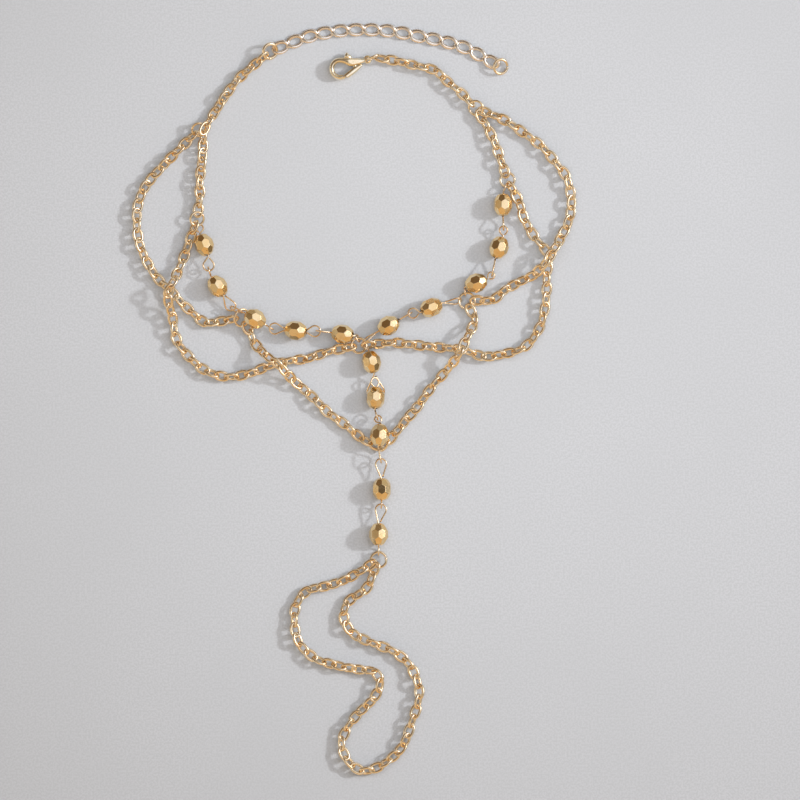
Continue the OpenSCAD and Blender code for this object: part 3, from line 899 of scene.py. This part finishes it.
RIVET = [(PIVOT[0] - 0.02, PIVOT[1], 0.25, 0.84, 2), (PIVOT[0] + 0.02, PIVOT[1], 0.25, 0.84, 2)]

# The hook bends round its middle: radius, and stations by angle, half width and half height
HOOK_R = 1.92
BEND = [(a, 0.6, 1.0) for a in range(96, 260, 14)] + [(272, 0.54, 0.95), (283, 0.5, 0.95)]
BEND_FULLNESS = 2.2
# Rounded end of a bar: each section's angle on a quarter circle
CAP = (20, 40, 60, 75, 86)


def on_clasp(shape):
    """Corners and faces, from the clasp's frame to the shared one."""
    corners, faces = shape
    along_u = np.array(toward(CLASP_HEADING, 0))
    along_v = np.array(toward(CLASP_HEADING + 90, 0))
    return (CLASP_AT + corners[:, :1] * along_u + corners[:, 1:2] * along_v + corners[:, 2:] * UP,
            faces)


def cap(station, ahead, way):
    """Sections of a rounded end, each with its heading and how far it has shrunk."""
    rows = []
    for a in CAP:
        p = station.copy()
        p[:2] += way * ahead * math.sin(math.radians(a)) * p[2]
        rows.append((p, ahead, math.cos(math.radians(a))))
    return rows


def bar(stations, closed=False, flat_end=False):
    """A smooth bar through stations, with rounded ends."""
    line = np.array(stations, float) if closed else smooth_route(stations, BAR_STEPS)
    if closed:
        ahead = np.roll(line, -1, 0)[:, :2] - np.roll(line, 1, 0)[:, :2]
    else:
        ahead = np.gradient(line[:, :2], axis=0)
    ahead /= np.linalg.norm(ahead, axis=1)[:, None]
    rows = [(p, t, 1.0) for p, t in zip(line, ahead)]
    if not closed:
        rows = cap(line[0], ahead[0], -1)[::-1] + rows
    if not closed and not flat_end:
        rows += cap(line[-1], ahead[-1], 1)
    turn = np.arange(BAR_SIDES) * 2 * math.pi / BAR_SIDES
    c, s = np.cos(turn), np.sin(turn)
    corners = []
    for (u, v, half_w, half_h, power), (tu, tv), shrink in rows:
        wide = np.sign(c) * np.abs(c) ** (2 / power)
        high = np.sign(s) * np.abs(s) ** (2 / power)
        out = half_w * shrink * wide
        corners.append(np.stack([u - tv * out, v + tu * out, half_h * shrink * high], axis=1))
    return np.concatenate(corners), tube_faces(len(rows), BAR_SIDES, closed)


def tail_eye(points=36, half_w=0.26, half_h=0.4, fullness=2.5):
    turn = np.arange(points) * 2 * math.pi / points
    return bar([(TAIL_AT[0] + TAIL_R * math.cos(a), TAIL_AT[1] + TAIL_R * math.sin(a),
                 half_w, half_h, fullness) for a in turn], closed=True)


def slot_block():
    us, vs, zs = SLOT, (-BEYOND_WIDE, BEYOND_WIDE), (-SLOT_HIGH / 2, SLOT_HIGH / 2)
    corners = np.array([(u, v, z) for u in us for v in vs for z in zs])
    faces = [(0, 1, 3, 2), (4, 6, 7, 5), (0, 4, 5, 1), (2, 3, 7, 6), (0, 2, 6, 4), (1, 5, 7, 3)]
    return corners, faces


def arc(radius, turn):
    return [(PIVOT[0] + radius * math.cos(a), PIVOT[1] + radius * math.sin(a)) for a in turn]


def sector(low, high):
    """Part of a disc about the pivot, between two radii, where the gate meets the hook."""
    turn = np.radians(np.linspace(200, 260, 32))
    outline = arc(low, turn[::-1]) + arc(high, turn)
    n = len(outline)
    corners = np.array([(u, v, z) for z in (-BEYOND_HIGH, BEYOND_HIGH) for u, v in outline])
    faces = [tuple(reversed(range(n))), tuple(range(n, 2 * n))]
    faces += [(k, (k + 1) % n, n + (k + 1) % n, n + k) for k in range(n)]
    return corners, faces


def cut_away(made, *cutters):
    """Takes closed shapes out of a piece for good."""
    cutter = joined("cutter", [on_clasp(shape) for shape in cutters])
    boolean = made.modifiers.new("cut", "BOOLEAN")
    boolean.object = cutter
    boolean.solver = "EXACT"
    bpy.context.view_layer.update()
    depsgraph = bpy.context.evaluated_depsgraph_get()
    result = bpy.data.meshes.new_from_object(made.evaluated_get(depsgraph))
    made.modifiers.clear()
    made.data = result
    bpy.data.objects.remove(cutter)


def clasp_piece(name, stands_for, *shapes, body=BODY):
    return piece(name, [on_clasp(shape) for shape in shapes], CLASP_GOLD, "clasp_gold", stands_for,
                 body=body)


def build_clasp():
    bend = [(HOOK_R * math.cos(math.radians(a)), HOOK_R * math.sin(math.radians(a)),
             half_w, half_h, BEND_FULLNESS) for a, half_w, half_h in BEND]
    hook = clasp_piece("clasp_hook", "clasp_body", bar(BACK + bend, flat_end=True))
    cut_away(hook, slot_block(), sector(*GATE_SWING))
    clasp_piece("clasp_tail", "clasp_body", tail_eye())
    clasp_piece("clasp_rivet", "clasp_body", bar(RIVET))
    gate = clasp_piece("clasp_gate", "clasp_lever", bar(GATE), body=LEVER)
    cut_away(gate, sector(GATE_REACH, BEYOND_LONG))
    clasp_piece("clasp_thumb", "clasp_lever", bar(ARM), bar(THUMB), body=LEVER)


build_clasp()


# Surface

FLOOR_HALF = 2
floor_mesh = bpy.data.meshes.new("surface")
floor_mesh.from_pydata([(x * FLOOR_HALF, y * FLOOR_HALF, 0)
                        for x, y in ((-1, -1), (1, -1), (1, 1), (-1, 1))], [], [(0, 1, 2, 3)])
floor_mesh.materials.append(pale_surface())
floor = bpy.data.objects.new("surface", floor_mesh)
scene.collection.objects.link(floor)
